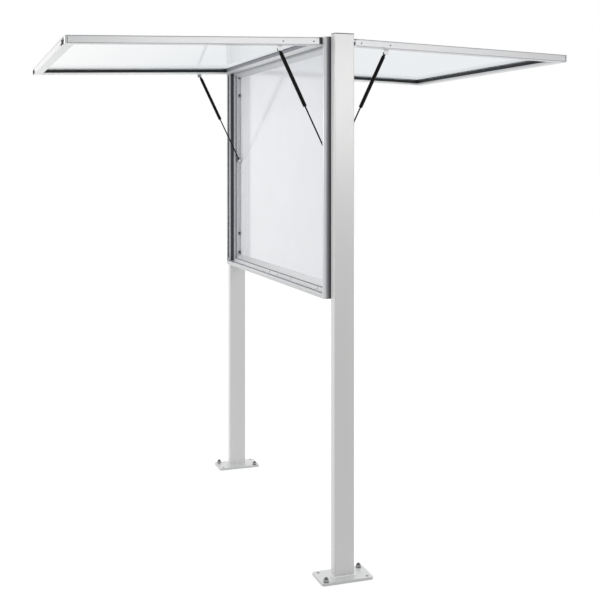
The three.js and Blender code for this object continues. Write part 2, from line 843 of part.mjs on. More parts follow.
// A bracket on the inner edge of a side bar, with the stud that carries a strut
function doorBracketGeometry(side) {
  const y = strutDoorPinInward;
  const z = -strutDoorPinDown;
  const seat = doorHalfWidth - doorBarWidth - clearance;
  const face = seat - bracketThickness;
  const tip = strutX - strutEyeThickness / 2 - studPastEye;
  const collar = strutX + strutEyeThickness / 2 + clearance;
  const y0 = -doorInner - doorBracketSeat;
  const y1 = y + doorBracketReach;
  const halfWidth = (y1 - y0) / 2;
  const shape = roundedRectangle(halfWidth, doorBracketHalfLength, studRadius);
  const plate = prismAlongX(shape, Math.min(side * face, side * seat), Math.max(side * face, side * seat));
  return join([
    plate.translate(0, (y0 + y1) / 2, z),
    roundAlongX(studRadius, side * tip, side * (face + bracketThickness / 2), y, z),
    roundAlongX(studCollarRadius, side * collar, side * (face + bracketThickness / 2), y, z),
  ]);
}

// A lock: its head on the outer face, the barrel through the bar and the cam inside it
function lockGeometry(side) {
  const x = side * lockX;
  const z = lockFromEdge - doorDrop;
  const face = -noseRadius - clearance;
  const camFace = -camOuter;
  const headFace = face - lockHeadHeight;
  const body = join([
    roundAlongY(lockHeadRadius, headFace, face, x, z),
    roundAlongY(lockBarrelRadius, face - lockHeadHeight / 2, camFace, x, z),
    roundAlongY(lockBarrelRadius, camFace - camThickness / 2, -camInner, x, z),
    box(
      [x, camFace, z - camWidth / 2],
      [x - side * camLength, -camInner, z + camWidth / 2],
    ),
  ]);
  const slot = box(
    [x - keySlotWidth / 2, headFace - overrun, z - keySlotLength / 2],
    [x + keySlotWidth / 2, headFace + lockHeadHeight / 2, z + keySlotLength / 2],
  );
  return cut(body, [slot]);
}

// A strut points down its own -z from the pin in the door's bracket
function strutCylinderGeometry(x) {
  const end = strutCylinderLength;
  const profile = [
    [0, strutNeckLength],
    [strutNeckRadius, strutNeckLength],
    [strutCylinderRadius, strutNeckLength + strutCylinderRadius - strutNeckRadius],
    [strutCylinderRadius, end - strutMouthChamfer],
    [strutCylinderRadius - strutMouthChamfer, end],
    [strutRodBoreRadius, end],
    [strutRodBoreRadius, strutBoreEnd],
    [0, strutBoreEnd],
  ].map(([r, s]) => new THREE.Vector2(r, s));
  const body = new THREE.LatheGeometry(profile, roundSegments).rotateX(-Math.PI / 2).translate(x, 0, 0);
  const half = strutEyeThickness / 2;
  const eye = roundAlongX(strutEyeRadius, x - half, x + half, 0, 0);
  const neck = roundAlongZ(strutNeckRadius, -strutNeckLength - strutNeckRadius, 0, x, 0);
  const pinHole = roundAlongX(studRadius + clearance, x - half - overrun, x + half + overrun, 0, 0);
  return cut(join([body, neck, eye]), [pinHole]);
}

function strutRodGeometry(x, length) {
  const profile = [
    [0, strutCylinderLength - strutRodOverlap],
    [strutRodRadius, strutCylinderLength - strutRodOverlap],
    [strutRodRadius, length - strutRodNeckLength],
    [strutRodNeckRadius, length - strutRodNeckLength],
    [strutRodNeckRadius, length],
    [0, length],
  ].map(([r, s]) => new THREE.Vector2(r, s));
  const rod = new THREE.LatheGeometry(profile, smallSegments).rotateX(-Math.PI / 2).translate(x, 0, 0);
  const half = strutEyeThickness / 2;
  const eye = roundAlongX(strutEyeRadius, x - half, x + half, 0, -length);
  const pinHole = roundAlongX(studRadius + clearance, x - half - overrun, x + half + overrun, 0, -length);
  return cut(join([rod, eye]), [pinHole]);
}

// One door, with its struts, turned to face the front or the rear
function addDoor(facing, face) {
  const wall = new THREE.Group();
  wall.rotation.z = facing < 0 ? 0 : Math.PI;
  const door = new THREE.Group();
  door.position.set(0, -pivotDepth, pivotHeight);
  door.rotation.x = -openAngle;
  addPiece(door, `${face}_hinge_bar`, hingeBarGeometry(), brightSilver);
  addPiece(door, `${face}_lock_bar`, lockBarGeometry(), brightSilver);
  addPiece(door, `${face}_pane`, paneGeometry(), clearPane);
  addPiece(door, `${face}_door_seal`, doorSealGeometry(), blackRubber);

  const pin = new THREE.Vector3(0, strutDoorPinInward, -strutDoorPinDown);
  pin.applyAxisAngle(new THREE.Vector3(1, 0, 0), -openAngle).add(door.position);
  const foot = new THREE.Vector3(0, -strutCasePinDepth, pivotHeight - strutCasePinDown);
  const along = foot.clone().sub(pin);

  for (const [side, label] of [[1, 'right'], [-1, 'left']]) {
    const own = side * -facing;
    addPiece(door, `${face}_side_bar_${label}`, sideBarGeometry(own), brightSilver);
    addPiece(door, `${face}_door_bracket_${label}`, doorBracketGeometry(own), zinc);
    addPiece(door, `${face}_lock_${label}`, lockGeometry(own), zinc);

    const strut = new THREE.Group();
    strut.position.copy(pin);
    strut.rotation.x = Math.atan2(along.y, -along.z);
    const x = own * strutX;
    addPiece(strut, `${face}_strut_cylinder_${label}`, strutCylinderGeometry(x), blackPaint);
    addPiece(strut, `${face}_strut_rod_${label}`, strutRodGeometry(x, along.length()), blackPaint);
    wall.add(strut);
  }
  wall.add(door);
  board.add(wall);
}

addPosts();
addSpacerStrips();
addCase();
addDoor(-1, 'front');
addDoor(1, 'rear');

export default board;
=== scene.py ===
# Lockable notice board, dressed for the photograph's view.
# Lengths are metres. +X runs along the board, -Y is the front and +Z is up.

import json
import math

import bpy
from mathutils import Matrix, Vector


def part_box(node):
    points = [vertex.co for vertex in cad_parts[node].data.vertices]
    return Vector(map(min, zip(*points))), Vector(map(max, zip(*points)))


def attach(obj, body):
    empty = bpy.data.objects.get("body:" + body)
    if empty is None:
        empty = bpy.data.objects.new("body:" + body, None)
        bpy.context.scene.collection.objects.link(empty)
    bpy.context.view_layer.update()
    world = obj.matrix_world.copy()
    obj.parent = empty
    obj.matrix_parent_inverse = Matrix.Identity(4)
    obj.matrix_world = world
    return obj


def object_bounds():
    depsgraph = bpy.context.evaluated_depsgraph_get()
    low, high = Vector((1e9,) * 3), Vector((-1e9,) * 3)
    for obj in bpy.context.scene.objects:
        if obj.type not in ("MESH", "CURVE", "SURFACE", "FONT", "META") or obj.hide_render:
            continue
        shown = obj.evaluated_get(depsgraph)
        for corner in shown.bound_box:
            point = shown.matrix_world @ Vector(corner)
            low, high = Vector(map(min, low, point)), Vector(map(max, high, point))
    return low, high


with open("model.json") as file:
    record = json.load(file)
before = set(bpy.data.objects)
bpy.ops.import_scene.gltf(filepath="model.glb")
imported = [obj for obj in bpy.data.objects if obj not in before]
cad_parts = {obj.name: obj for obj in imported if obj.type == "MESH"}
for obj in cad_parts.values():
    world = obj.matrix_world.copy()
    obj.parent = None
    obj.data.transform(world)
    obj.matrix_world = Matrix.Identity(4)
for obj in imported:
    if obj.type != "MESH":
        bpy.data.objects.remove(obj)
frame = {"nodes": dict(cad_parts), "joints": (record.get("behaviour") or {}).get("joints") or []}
cad_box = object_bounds()
nodes = frame["nodes"]
joints = {joint["name"]: joint for joint in frame["joints"]}


def corners(node):
    """The lowest and the highest corner of a node, to a tenth of a millimetre."""
    return [[round(value, 4) for value in corner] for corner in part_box(node)]


def middle(node):
    return [(low + high) / 2 for low, high in zip(*corners(node))]


# Case, measured on its right side profile. CASE_FACE is its depth from the middle of the board.
(INNER_WALL, _, CASE_BOTTOM), (CASE_HALF, CASE_FACE, CASE_TOP) = corners("case_side_right")

# Posts and base plates
POST_X = middle("post_right")[0]
POST_OUTER, POST_HALF_DEPTH, _ = corners("post_right")[1]
POST_HALF_WIDTH = POST_OUTER - POST_X
POST_CORNER = 0.004
PLATE_TOP = corners("base_plate_right")[1][2]

# Doors. In the own axes of a closed front door its hinge is at Y 0 and Z 0, and +Y goes into the case.
# The door has play beside it and where its inner edge sweeps past the case, and ends above the case's foot.
HINGE_Y, HINGE_Z = joints["rear_door_hinge"]["pos_m"][1:]
OPEN_TURN = math.radians(joints["rear_door_hinge"]["range_deg"][1])
DOOR_HALF = corners("front_hinge_bar")[1][0]
DOOR_SIDE_GAP = 0.003
DOOR_LIFT = 0.020
DOOR_SWEEP_GAP = 0.0007
DOOR_TOP = 0.006
DOOR_OUTER = -0.006
DOOR_INNER = 0.023
DOOR_FOOT = CASE_BOTTOM + DOOR_LIFT - HINGE_Z
HINGE_BAR_FOOT = -0.018
LOCK_X = joints["front_lock_turn_right"]["pos_m"][0]

# Struts, and the stud in the middle of a front case bracket
STRUT_X = joints["front_cylinder_pin_right"]["pos_m"][0]
_, CASE_PIN_Y, CASE_PIN_Z = middle("case_bracket_front_right")

# Parts of the case beside a door: the inner edge of the side profiles' lips, the depth at which a door
# lands, to a hundredth of a millimetre, and the top of the bottom rail's ridge behind it
LIP_INNER = DOOR_HALF + DOOR_SIDE_GAP
LANDING = round(HINGE_Y - math.hypot(DOOR_TOP, DOOR_INNER) - DOOR_SWEEP_GAP, 5)
RIDGE_TOP = CASE_BOTTOM + 0.030


# Camera. The focal length and the horizon's row are in pixels of the square photograph.
PHOTO_SIZE = 600
FOCAL_PIXELS = 1008.8
HORIZON_ROW = 161.6
SENSOR_WIDTH = 36
CAMERA_PLACE = (4.2828, -1.4034, 1.5674)
CAMERA_YAW = math.radians(19.194)
CAMERA_REACH = 60


def add_camera():
    data = bpy.data.cameras.new("camera")
    data.sensor_width = SENSOR_WIDTH
    data.lens = FOCAL_PIXELS * SENSOR_WIDTH / PHOTO_SIZE
    data.shift_y = (HORIZON_ROW - PHOTO_SIZE / 2) / PHOTO_SIZE
    data.clip_end = CAMERA_REACH
    camera = bpy.data.objects.new("camera", data)
    bpy.context.collection.objects.link(camera)
    camera.location = CAMERA_PLACE
    camera.rotation_euler = (math.pi / 2, 0, math.pi / 2 - CAMERA_YAW)
    bpy.context.scene.camera = camera


# Shader helpers. These are the numbers of a Mix node's sockets for single values and for colours.
MIX_FACTOR = 0
MIX_VALUES = (2, 3)
MIX_VALUE_OUT = 0
MIX_COLOURS = (6, 7)
MIX_COLOUR_OUT = 2

# Noise stays mostly between these values
NOISE_LOW = 0.3
NOISE_HIGH = 0.7


class NodeTree:
    """The node tree of a material or a world, with short calls for the nodes that the looks share."""

    def __init__(self, owner, output):
        owner.use_nodes = True
        self.owner = owner
        self.tree = owner.node_tree
        self.tree.nodes.clear()
        self.output = self.node(output)
        self.coordinate = self.node("TexCoord")

    def node(self, kind, **values):
        made = self.tree.nodes.new("ShaderNode" + kind)
        for key, value in values.items():
            setattr(made, key, value)
        return made

    def link(self, a, b):
        self.tree.links.new(a, b)

    def noise(self, scale, stretch, detail):
        mapping = self.node("Mapping")
        mapping.inputs["Scale"].default_value = stretch
        self.link(self.coordinate.outputs["Object"], mapping.inputs["Vector"])
        made = self.node("TexNoise")
        made.inputs["Scale"].default_value = scale
        made.inputs["Detail"].default_value = detail
        self.link(mapping.outputs["Vector"], made.inputs["Vector"])
        return made.outputs["Fac"]

    def axis(self, kind, axis):
        """One axis of a texture coordinate."""
        split = self.node("SeparateXYZ")
        self.link(self.coordinate.outputs[kind], split.inputs["Vector"])
        return split.outputs[axis]

    def ranged(self, value, low, high, start=NOISE_LOW, end=NOISE_HIGH, curve="LINEAR"):
        """Goes from low to high while the value goes from start to end."""
        made = self.node("MapRange", interpolation_type=curve)
        made.inputs["From Min"].default_value = start
        made.inputs["From Max"].default_value = end
        made.inputs["To Min"].default_value = low
        made.inputs["To Max"].default_value = high
        self.link(value, made.inputs["Value"])
        return made.outputs["Result"]

    def tinted(self, value, first, second):
        """The first colour where the value is 0, and the second where it is 1."""
        made = self.node("Mix", data_type="RGBA")
        for socket, colour in zip(MIX_COLOURS, (first, second)):
            made.inputs[socket].default_value = (*colour, 1)
        self.link(value, made.inputs[MIX_FACTOR])
        return made.outputs[MIX_COLOUR_OUT]

    def multiplied(self, first, second):
        made = self.node("Mix", data_type="RGBA", blend_type="MULTIPLY")
        made.inputs[MIX_FACTOR].default_value = 1
        for socket, colour in zip(MIX_COLOURS, (first, second)):
            self.link(colour, made.inputs[socket])
        return made.outputs[MIX_COLOUR_OUT]

    def combined(self, kind, first, second):
        """A sum, product or the like of two values, each of them a number or a node's output."""
        made = self.node("Math", operation=kind)
        for socket, value in zip(made.inputs, (first, second)):
            if isinstance(value, (int, float)):
                socket.default_value = value
            else:
                self.link(value, socket)
        return made.outputs["Value"]

    def graded(self, value, places, curve="LINEAR"):
        """Turns a value into the grey level that the (place, level) pairs give."""
        made = self.node("ValToRGB")
        ramp = made.color_ramp
        ramp.interpolation = curve
        for place, _ in places[1:-1]:
            ramp.elements.new(place)
        for element, (place, level) in zip(ramp.elements, places):
            element.position = place
            element.color = (level, level, level, 1)
        self.link(value, made.inputs["Fac"])
        return made.outputs["Color"]

    def bump(self, value, strength, distance):
        made = self.node("Bump")
        made.inputs["Strength"].default_value = strength
        made.inputs["Distance"].default_value = distance
        self.link(value, made.inputs["Height"])
        return made.outputs["Normal"]

    def mixed(self, share, first, second):
        """The first shader where the share is 0, and the second where it is 1."""
        made = self.node("MixShader")
        self.link(share, made.inputs["Fac"])
        self.link(first, made.inputs[1])
        self.link(second, made.inputs[2])
        return made.outputs["Shader"]

    def background_rays(self):
        """One for the rays that see the white background: from the camera, off metal or through glass."""
        path = self.node("LightPath")
        value = path.outputs["Is Camera Ray"]
        for name in ("Is Glossy Ray", "Is Transmission Ray"):
            value = self.combined("MAXIMUM", value, path.outputs[name])
        return value

    def surface(self, shader):
        self.link(shader, self.output.inputs["Surface"])
        return self.owner


def new_material(name):
    return NodeTree(bpy.data.materials.new(name), "OutputMaterial")


# How a solid finish is uneven: broad patches in its colour, and a fine grain in its gloss and surface
PATCH_SCALE = 6
PATCH_DETAIL = 4
PATCH_TONES = (0.985, 1.01)
GRAIN_DETAIL = 2
GRAIN_BUMP = 0.06

# The ways in which a finish's grain runs
EVEN = (1, 1, 1)
ALONG_X = (0.06, 1, 1)
ALONG_Y = (1, 0.06, 1)
ALONG_Z = (1, 1, 0.06)


def grey(level):
    return (level, level, level)


def shade(colour, factor):
    return tuple(min(value * factor, 1) for value in colour)


def finish(name, colour, stretch=EVEN, *, rough, spread, metallic=0.0, grain, depth, specular=0.5, sides=1.0):
    """A solid finish. Its roughness varies by the spread, and its grain has a fineness and a depth.

    Its sides may be painted darker than its top, as painted shade where less light falls on them.
    """
    look = new_material(name)
    principled = look.node("BsdfPrincipled")
    principled.inputs["Metallic"].default_value = metallic
    principled.inputs["Specular IOR Level"].default_value = specular
    broad = look.ranged(look.noise(PATCH_SCALE, stretch, PATCH_DETAIL), 0, 1)
    fine = look.noise(grain, stretch, GRAIN_DETAIL)
    tint = look.tinted(broad, *(shade(colour, tone) for tone in PATCH_TONES))
    if sides != 1:
        # Painted shade: faces that point less upward get a darker colour.
        upward = look.ranged(look.axis("Normal", "Z"), 0, 1)
        tint = look.multiplied(tint, look.tinted(upward, grey(sides), grey(1)))
    look.link(tint, principled.inputs["Base Color"])
    look.link(look.ranged(fine, rough - spread, rough + spread), principled.inputs["Roughness"])
    look.link(look.bump(fine, GRAIN_BUMP, depth), principled.inputs["Normal"])
    return look.surface(principled.outputs["BSDF"])


# Profiles and the back panel. The bottom rail, the far side bars of the doors and the front lock bar are
# lighter copies of the same silver, as painted light where these parts show brighter, and the bottom rail's
# side faces carry painted shade.
POST_SILVER = (0.785, 0.785, 0.782)
CASE_SILVER = (0.755, 0.765, 0.79)
DOOR_SILVER = (0.755, 0.76, 0.77)
CASE_PROFILE = {"rough": 0.34, "spread": 0.02, "metallic": 0.30, "grain": 260, "depth": 0.00002}
DOOR_PROFILE = {**CASE_PROFILE, "rough": 0.32}

post_silver = finish("post_silver", POST_SILVER, ALONG_Z, **CASE_PROFILE)
case_x = finish("case_profile_x", CASE_SILVER, ALONG_X, **CASE_PROFILE)
case_z = finish("case_profile_z", CASE_SILVER, ALONG_Z, **CASE_PROFILE)
lit_rail_x = finish("rail_profile_x", (0.93, 0.935, 0.945), ALONG_X, **CASE_PROFILE, sides=0.72)
door_x = finish("door_profile_x", DOOR_SILVER, ALONG_X, **DOOR_PROFILE)
door_y = finish("door_profile_y", DOOR_SILVER, ALONG_Y, **DOOR_PROFILE)
lit_far_door_y = finish("far_door_profile_y", (0.90, 0.905, 0.91), ALONG_Y, **DOOR_PROFILE)
lock_bar_x = finish("lock_bar_x", (0.89, 0.895, 0.905), ALONG_X, **DOOR_PROFILE)
panel_white = finish(
    "white_panel", (0.94, 0.952, 0.98), rough=0.10, spread=0.02, grain=60, depth=0.00001, specular=0.38
)

# Steel and welds, bright pieces, and lines on the profiles
PLATE_GRAIN = {"spread": 0.03, "grain": 420, "depth": 0.00003}
STEEL_GRAIN = {"grain": 700, "depth": 0.00002}
LINE_FINISH = {"spread": 0.04, "metallic": 0.2, "grain": 500, "depth": 0.00001}

# The base plates' side faces carry painted shade, darker than their tops.
plate_silver = finish(
    "plate_silver", (0.90, 0.905, 0.91), rough=0.36, metallic=0.30, sides=0.75, **PLATE_GRAIN
)
weld_silver = finish(
    "weld_silver", (0.90, 0.905, 0.91), rough=0.30, spread=0.08, metallic=0.45, grain=900, depth=0.00012
)
zinc = finish(
    "zinc_plated", (0.62, 0.63, 0.635), rough=0.32, spread=0.06, metallic=0.75, grain=700, depth=0.00003
)
bright_steel = finish("bright_steel", grey(0.86), rough=0.30, spread=0.04, metallic=0.40, **STEEL_GRAIN)
dark_steel = finish("dark_steel", (0.22, 0.22, 0.225), rough=0.38, spread=0.06, metallic=0.55, **STEEL_GRAIN)
rod_steel = finish(
    "ground_steel",
    (0.30, 0.31, 0.32),
    ALONG_X,
    rough=0.32,
    spread=0.06,
    metallic=0.95,
    grain=900,
    depth=0.00001,
)
# A brighter silver for the painted highlight on the bottom rail's riser.
bright_silver = finish(
    "bright_silver",
    (0.84, 0.845, 0.855),
    ALONG_X,
    rough=0.30,
    spread=0.03,
    metallic=0.30,
    grain=260,
    depth=0.00002,
)
# White for the painted glints on the bottom rail's riser.
bright_white = finish(
    "bright_white", grey(0.98), rough=0.25, spread=0.03, metallic=0.10, grain=400, depth=0.00001
)
edge_grey = finish("edge_grey", (0.42, 0.42, 0.43), ALONG_Y, rough=0.45, **LINE_FINISH)
line_grey = finish("line_grey", (0.66, 0.66, 0.67), ALONG_X, rough=0.40, **LINE_FINISH)

# Rubber, plastic and paint
PLASTIC_GRAIN = {"grain": 800, "depth": 0.00002}

cap_grey = finish("cap_grey", (0.06, 0.06, 0.062), rough=0.50, **PLATE_GRAIN)
rubber = finish(
    "black_rubber", (0.014, 0.015, 0.016), rough=0.62, spread=0.10, grain=900, depth=0.00004, specular=0.35
)
case_rubber = finish(
    "case_rubber",
    (0.125, 0.128, 0.142),
    ALONG_Z,
    rough=0.55,
    spread=0.08,
    grain=900,
    depth=0.00003,
    specular=0.4,
)
grey_gasket = finish(
    "grey_gasket",
    (0.27, 0.27, 0.30),
    ALONG_X,
    rough=0.50,
    spread=0.06,
    grain=700,
    depth=0.00002,
    specular=0.4,
)
black_gloss = finish(
    "black_gloss", (0.002, 0.002, 0.003), rough=0.14, spread=0.02, grain=500, depth=0.00001, specular=0.08
)
black_plastic = finish("black_plastic", (0.012, 0.012, 0.013), rough=0.45, spread=0.08, **PLASTIC_GRAIN)
dark_clip = finish("dark_clip", (0.045, 0.046, 0.055), rough=0.45, spread=0.06, **PLASTIC_GRAIN)
matt_black = finish(
    "matt_black", (0.008, 0.008, 0.009), rough=0.60, spread=0.05, specular=0.05, **PLASTIC_GRAIN
)


# Pane. Its tint deepens along this stretch of Y as painted shade, and faint painted reflections lie over it
# as smears. Its outer faces mirror from the low to the high share of the light, and the most at a glancing
# angle.
PANE_SHADE_SPAN = (-0.95, -0.30)
PANE_SHADE_TINTS = ((0.995, 0.998, 0.998), (0.918, 0.932, 0.942))
REFLECTION_SMEAR_SCALE = 9
REFLECTION_SMEAR_DETAIL = 3
REFLECTION_SMEAR_TINTS = ((0.994, 0.995, 0.996), (1, 1, 1))
MIRROR_ROUGHNESS = 0.03
MIRROR_BLEND = 0.35
MIRROR_SHARES = (0.03, 0.20)


def pane_look():
    look = new_material("clear_pane")
    clear = look.node("BsdfTransparent")
    # Painted shade deepens the tint along Y, and the noise paints faint reflections as smears.
    painted_fade = look.tinted(look.ranged(look.axis("Object", "Y"), 0, 1, *PANE_SHADE_SPAN), *PANE_SHADE_TINTS)
    painted_reflection = look.ranged(look.noise(REFLECTION_SMEAR_SCALE, EVEN, REFLECTION_SMEAR_DETAIL), 0, 1)
    look.link(look.multiplied(painted_fade, look.tinted(painted_reflection, *REFLECTION_SMEAR_TINTS)), clear.inputs["Color"])
    mirror = look.node("BsdfGlossy")
    mirror.inputs["Roughness"].default_value = MIRROR_ROUGHNESS
    sheen = look.node("LayerWeight")
    sheen.inputs["Blend"].default_value = MIRROR_BLEND
    share = look.ranged(sheen.outputs["Facing"], *MIRROR_SHARES, 0, 1)
    outer = look.combined("SUBTRACT", 1, look.node("NewGeometry").outputs["Backfacing"])
    mirrored = look.combined("MULTIPLY", share, outer)
    return look.surface(look.mixed(mirrored, clear.outputs["BSDF"], mirror.outputs["BSDF"]))


# Anchors. A dark washer, a lighter nut and a dark thread follow each other up, each from a share of
# the anchor's height and with its own grey level.
ANCHOR_BANDS = ((0.0, 0.13), (0.475, 0.42), (0.79, 0.15))
ANCHOR_METALLIC = 0.55
GRIME_SCALE = 240
GRIME_DETAIL = 3
GRIME_TINTS = ((0.88, 0.88, 0.89), (1, 1, 1))
GRIME_ROUGHNESS = (0.32, 0.46)
GRIME_BUMP = (0.1, 0.00003)


def anchor_look():
    look = new_material("anchor_steel")
    principled = look.node("BsdfPrincipled")
    principled.inputs["Metallic"].default_value = ANCHOR_METALLIC
    bands = look.graded(look.axis("Generated", "Z"), ANCHOR_BANDS, "CONSTANT")
    grime = look.noise(GRIME_SCALE, EVEN, GRIME_DETAIL)
    tint = look.tinted(look.ranged(grime, 0, 1), *GRIME_TINTS)
    look.link(look.multiplied(bands, tint), principled.inputs["Base Color"])
    look.link(look.ranged(grime, *GRIME_ROUGHNESS), principled.inputs["Roughness"])
    look.link(look.bump(grime, *GRIME_BUMP), principled.inputs["Normal"])
    return look.surface(principled.outputs["BSDF"])


clear_pane = pane_look()
anchor_steel = anchor_look()

# Front and rear with the sign of their Y, and right and left with the sign of their X
FACES = ((-1, "front"), (1, "rear"))
SIDES = ((1, "right"), (-1, "left"))


def wear(name, material):
    """Puts a material on a node of the model."""
    node = nodes[name]
    node.data.materials.clear()
    node.data.materials.append(material)


def dress_nodes():
    for _, label in SIDES:
        wear("post_" + label, post_silver)
        wear("post_cap_" + label, cap_grey)
        wear("base_plate_" + label, plate_silver)
        # The spacer strips are black rubber, and their darkness also stands as painted shade in the narrow
        # gap between case and post.
        wear("spacer_strip_" + label, rubber)
        wear("case_side_" + label, case_z)
        for _, face in FACES:
            wear(f"anchor_{label}_{face}", anchor_steel)
            wear(f"case_seal_{face}_{label}", case_rubber)
            wear(f"keeper_{face}_{label}", zinc)
            wear(f"case_bracket_{face}_{label}", zinc)
            wear(f"{face}_side_bar_{label}", door_y if label == "right" else lit_far_door_y)
            wear(f"{face}_door_bracket_{label}", door_y)
            wear(f"{face}_lock_{label}", zinc)
            wear(f"{face}_strut_cylinder_{label}", black_gloss)
            wear(f"{face}_strut_rod_{label}", black_gloss)
    wear("top_rail", case_x)
    wear("bottom_rail", lit_rail_x)
    wear("back_panel", panel_white)
    for _, face in FACES:
        wear(face + "_hinge_rod", rod_steel)
        wear(face + "_hinge_bar", door_x)
        wear(face + "_lock_bar", lock_bar_x if face == "front" else door_x)
        wear(face + "_pane", clear_pane)
        wear(face + "_door_seal", rubber)


# Small pieces that the model leaves out
BEVEL_SEGMENTS = 2
BOX_FACES = ((0, 3, 2, 1), (4, 5, 6, 7), (0, 1, 5, 4), (1, 2, 6, 5), (2, 3, 7, 6), (3, 0, 4, 7))
LATHE_STEPS = 24

# A screw head's outline from its seat to the floor of its socket, as shares of its radius and its height
HEAD_OUTLINE = ((0, 0), (1, 0), (1, 0.45), (0.78, 1), (0.45, 1), (0.42, 0.3), (0, 0.3))
HEAD_FLATNESS = 0.42


def piece(name, vertices, faces, material, body, matrix=None, smooth=False, bevel=0.0):
    """A mesh that rides a body. The matrix turns the piece's own axes into the model's."""
    mesh = bpy.data.meshes.new(name)
    mesh.from_pydata([tuple(vertex) for vertex in vertices], [], faces)
    mesh.materials.append(material)
    for polygon in mesh.polygons:
        polygon.use_smooth = smooth
    obj = bpy.data.objects.new(name, mesh)
    bpy.context.collection.objects.link(obj)
    if matrix is not None:
        mesh.transform(matrix)
    if bevel:
        modifier = obj.modifiers.new("bevel", "BEVEL")
        modifier.width = bevel
        modifier.segments = BEVEL_SEGMENTS
    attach(obj, body)


def box_piece(name, spans, material, body, matrix, bevel=0.0):
    """A box between two values of X, of Y and of Z. The two come in any order."""
    (x0, x1), (y0, y1), (z0, z1) = (sorted(span) for span in spans)
    outline = ((x0, y0), (x1, y0), (x1, y1), (x0, y1))
    vertices = [(x, y, z) for z in (z0, z1) for x, y in outline]
    piece(name, vertices, BOX_FACES, material, body, matrix, bevel=bevel)


def lathe_piece(name, profile, centre, axis, material, body, matrix, steps=LATHE_STEPS):
    """Turns (radius, height) points about an axis. The first and last points lie on the axis."""
    turn = Vector(axis).to_track_quat("Z", "Y").to_matrix().to_4x4()
    place = Matrix.Translation(Vector(centre)) @ turn
    rings = profile[1:-1]
    vertices = [place @ Vector((0, 0, profile[0][1]))]
    for radius, height in rings:
        for i in range(steps):
            angle = 2 * math.pi * i / steps
            vertices.append(place @ Vector((radius * math.cos(angle), radius * math.sin(angle), height)))
    vertices.append(place @ Vector((0, 0, profile[-1][1])))
    first_ring = 1
    last_ring = 1 + (len(rings) - 1) * steps
    tip = len(vertices) - 1
    faces = []
    for i in range(steps):
        j = (i + 1) % steps
        faces.append((0, first_ring + j, first_ring + i))
        for ring in range(first_ring, last_ring, steps):
            faces.append((ring + i, ring + j, ring + steps + j, ring + steps + i))
        faces.append((last_ring + i, last_ring + j, tip))
    piece(name, vertices, faces, material, body, matrix)


def screw(name, centre, axis, radius, material, body, matrix, flatness=HEAD_FLATNESS):
    """A low round head with a socket. Its seat lies at the centre."""
    profile = [(radius * out, radius * flatness * up) for out, up in HEAD_OUTLINE]
    lathe_piece(name, profile, centre, axis, material, body, matrix)


def facing_matrix(facing):
    """Front places stay, and rear places turn half round the upright axis."""
    return Matrix.Identity(4) if facing < 0 else Matrix.Rotation(math.pi, 4, "Z")


def own_side(facing, side):
    """A rear piece is turned half round, so the right of the board is on its own left."""
    return -facing * side


def door_matrix(facing):
    """From a closed front door's own axes to where the door stands open."""
    place = Matrix.Translation((0, -HINGE_Y, HINGE_Z)) @ Matrix.Rotation(-OPEN_TURN, 4, "X")
    return facing_matrix(facing) @ place


# Door trim, in the own axes of a closed front door. The end pieces of the hinge bar reach further down
# on the front door.
HINGE_END_THICKNESS = 0.0005
HINGE_END_INSET = 0.0015
HINGE_END_FOOT = {"front": HINGE_BAR_FOOT + 0.0002, "rear": -0.0040}

# Lock trim, in the recess of the lock bar's lower face or proud of that face. Each row has a name, its
# outer and inner end in X from the lock, two values of Y, two of Z from the lower face, and a material.
IN_RECESS = (0.0002, 0.0011)
PROUD = (-0.0003, 0.0001)
LOCK_TRIM = (
    ("plate", (0.0535, 0.0150), (-0.0027, 0.0197), IN_RECESS, matt_black),
    ("plate_edge", (0.0148, -0.0200), (0.0056, 0.0078), IN_RECESS, matt_black),
    ("barrel", (0.0148, -0.0200), (-0.0027, 0.0054), IN_RECESS, zinc),
    ("plate_lip", (0.0600, 0.0180), (0.0048, 0.0228), PROUD, matt_black),
    ("plate_low", (0.0175, -0.0240), (0.0130, 0.0226), PROUD, matt_black),
    ("plate_high", (0.0175, -0.0240), (0.0046, 0.0077), PROUD, matt_black),
    # A painted shadow under the lock barrel.
    ("underline", (-0.0250, -0.0770), (0.0160, 0.0185), PROUD, matt_black),
)

# Lines and corner joints on the outer sides of the side bars. Each row has a name, a thickness, two
# values of Y, two of Z and a material.
SIDE_LINE_THICKNESS = 0.0003
SIDE_LINE_Z = (DOOR_FOOT + 0.0125, HINGE_BAR_FOOT - 0.0005)
SIDE_TRIM = (
    ("edge_line", SIDE_LINE_THICKNESS, (-0.0055, -0.0028), SIDE_LINE_Z, edge_grey),
    ("low_line", SIDE_LINE_THICKNESS, (0.0200, 0.0222), SIDE_LINE_Z, edge_grey),
    (
        "corner_joint",
        0.0002,
        (DOOR_OUTER + 0.0006, DOOR_INNER - 0.0006),
        (DOOR_FOOT + 0.0102, DOOR_FOOT + 0.0124),
        grey_gasket,
    ),
)

# Screws in the same sides, each with its Z and its finish
SIDE_SCREW_Y = 0.010
SIDE_SCREW_RADIUS = 0.0034
SIDE_SCREW_FLATNESS = 0.09
SIDE_SCREWS = (
    ("hinge", -0.040, dark_steel),
    ("strut", -0.162, dark_steel),
    ("lock", DOOR_FOOT + 0.019, zinc),
)

# Caps on the eyes of the rods, as (radius, height) points from EYE_CAP_X towards the middle
EYE_CAP_X = STRUT_X + 0.0045
EYE_CAP_PROFILE = ((0, 0.0086), (0.0072, 0.0086), (0.0072, 0.0096), (0.0058, 0.0106), (0, 0.0106))
EYE_CAP_STEPS = 16

# Pieces along the whole door. Each row has a name, half its length, two values of Y, two of Z and a
# material.
DOOR_LENGTHS = (
    ("lock_bar_line", 0.672, (-0.0034, 0.0020), (DOOR_FOOT - 0.00003, DOOR_FOOT + 0.0001), line_grey),
    (
        "hinge_bar_gasket",
        DOOR_HALF - 0.0385,
        (0.0010, 0.0125),
        (HINGE_BAR_FOOT - 0.0012, HINGE_BAR_FOOT - 0.0001),
        grey_gasket,
    ),
)


